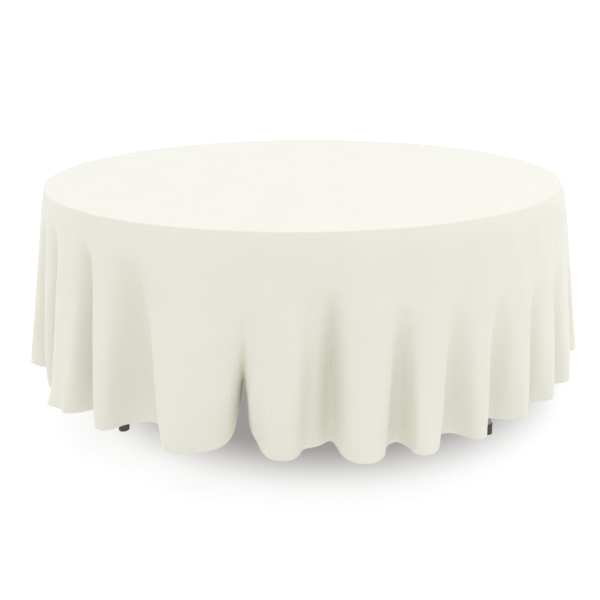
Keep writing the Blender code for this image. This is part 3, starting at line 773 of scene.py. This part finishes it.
def foot_cap(place):
    """A moulded cap with a lip and a groove below it, cut off level at the floor."""
    top = -LEG_LENGTH + CAP_HEIGHT
    foot = -LEG_LENGTH - 0.006
    groove = CAP_RADIUS - 0.0006
    profile = [(0, top - 0.002), (TUBE_RADIUS - 0.0004, top - 0.002), (TUBE_RADIUS + 0.0003, top)]
    profile += arc((CAP_RADIUS - 0.0012, top - 0.0012), 0.0012, 90, 0, 4)
    profile += [(CAP_RADIUS, top - 0.006), (groove, top - 0.0068), (groove, top - 0.0085),
                (CAP_RADIUS, top - 0.0093), (CAP_RADIUS, foot), (0, foot)]
    bm = spun(profile, 48, place)
    geom = bm.verts[:] + bm.edges[:] + bm.faces[:]
    cut = bmesh.ops.bisect_plane(bm, geom=geom, plane_co=(0, 0, 0), plane_no=(0, 0, -1),
                                 clear_outer=True)["geom_cut"]
    rim = [item for item in cut if isinstance(item, bmesh.types.BMEdge)]
    bmesh.ops.contextual_create(bm, geom=rim)
    bmesh.ops.recalc_face_normals(bm, faces=bm.faces)
    return finished(bm, "cap")


def make_leg_set(side, paint, plastic):
    """A welded leg set of round tubes, its beads and its foot caps."""
    half_turn = 0 if side == "right" else pi
    ends = ((-1, "front"), (1, "back")) if side == "right" else ((-1, "back"), (1, "front"))
    about = Matrix.Rotation(half_turn, 4, "Z")
    about = about @ Matrix.Translation((PIVOT_X, -LEG_STAGGER, PIVOT_Z))
    about = about @ Matrix.Rotation(-LEG_SPLAY, 4, "Y")
    body = f"{side}_legs"
    beads = bmesh.new()
    # The crossbar ends at the inner side of the slanted length of the legs.
    slope = (LEG_FOOT_HALF - LEG_TOP_HALF) / (LEG_BEND_END - LEG_BEND_START)
    leg_y = LEG_TOP_HALF + slope * (CROSSBAR_DROP - CROSSBAR_RADIUS - LEG_BEND_START)
    bar = leg_y - TUBE_RADIUS * hypot(1, slope)

    def add_tube(name, path, radius, replaced):
        mesh = tube(f"{side}_{name}", path, radius, about)
        add_piece(mesh.name, mesh, body, paint, [f"{side}_{replaced}"], 40)

    for sign, end in ends:
        corners = ((0, sign * LEG_TOP_HALF, -TUBE_RADIUS + 0.002),
                   (0, sign * LEG_TOP_HALF, -LEG_BEND_START),
                   (0, sign * LEG_FOOT_HALF, -LEG_BEND_END),
                   (0, sign * LEG_FOOT_HALF, -LEG_LENGTH + 0.007))
        path = bent_path(corners, LEG_BEND_RADIUS, 10)
        add_tube(f"{end}_leg_tube", path, TUBE_RADIUS, f"leg_{end}")
        cap = foot_cap(about @ Matrix.Translation((0, sign * LEG_FOOT_HALF, 0)))
        add_piece(f"{side}_{end}_cap", cap, body, plastic,
                  [f"{side}_foot_cap_{end}"], 40)
        bead(beads, (0, sign * LEG_TOP_HALF, -TUBE_RADIUS), (0, 0, 1), TUBE_RADIUS - 0.0005)
        bead(beads, (0, sign * (bar + 0.001), -CROSSBAR_DROP), (0, sign, 0), CROSSBAR_RADIUS)
    half = PIVOT_TUBE_LENGTH / 2
    add_tube("pivot", [(0, -half, 0), (0, half, 0)], TUBE_RADIUS, "pivot_tube")
    path = [(0, -bar, -CROSSBAR_DROP), (0, bar, -CROSSBAR_DROP)]
    add_tube("cross_tube", path, CROSSBAR_RADIUS, "crossbar")
    bmesh.ops.recalc_face_normals(beads, faces=beads.faces)
    bmesh.ops.transform(beads, matrix=about, verts=beads.verts)
    add_piece(f"{side}_weld_beads", finished(beads, "weld_beads"), body, paint)


camera()
white_room()
soft_light("key", (-3.4, -1.2, 2.4), 1)
soft_light("fill", (3.6, -0.9, 2.0), 8)
white_floor()

fabric = spun_polyester()
thread = polyester_thread()
# Clear-lacquered rotary-cut birch face: pale, even, with fine lines along the sheet.
plywood = sawn_wood("lacquered_birch_plywood", "#D9BC8F", "#BF9A68", 0.004, 0.06, 0.5)
# Planed softwood: stronger figure, dry surface.
softwood = sawn_wood("planed_softwood", "#D2AD78", "#A97B49", 0.0025, 0.018, 0.65)
# Moulded vinyl with the mould's fine spark texture: dull, slightly scuffed.
vinyl = grained_finish("moulded_vinyl", "#45433A", "#504E45", 0.5, 0.0012, 0.00025)
# Powder-coated steel: a fine orange peel of about 1.5 mm under a half gloss.
paint = grained_finish("powder_coated_steel", "#A09B8E", "#969184", 0.42, 0.0015, 0.0002)
# Bright zinc plating over rolled steel: soft metal shine with faint blotches.
zinc = grained_finish("bright_zinc_plate", "#C6C8CA", "#B4B5B2", 0.33, 0.0008, 0.0001, 1.0)

finishes = {"plywood": plywood, "runner_timber": softwood, "dark_plastic": vinyl,
            "painted_tube": paint, "zinc_steel": zinc}
for part in frame["record"]["subparts"]:
    if part["material_slot"] in finishes:
        node = frame["nodes"][part["node"]]
        node.data.materials.clear()
        node.data.materials.append(finishes[part["material_slot"]])

make_table(plywood, vinyl)
for side in ("right", "left"):
    make_leg_set(side, paint, vinyl)

hung, cut = hung_cloth()
hem = add_piece("hem", hem_strip(hung, cut), "cloth", fabric, ["hem_band"], 60)
stitches = add_piece("hem_stitches", seam_stitches(hung), "cloth", thread)
# The single cloth ends inside the hem.
in_hem = HEM_OVERLAP / HEM_WIDTH
hung[-1] = hung[-2] + (hung[-1] - hung[-2]) * in_hem
cut[-1] = cut[-2] + (cut[-1] - cut[-2]) * in_hem
grid = woven_grid("round_cloth", hung, cut)
cloth = add_piece("round_cloth", grid, "cloth", fabric, ["tablecloth"])
thickness = cloth.modifiers.new("thickness", "SOLIDIFY")
thickness.thickness = CLOTH_THICK
thickness.offset = 0
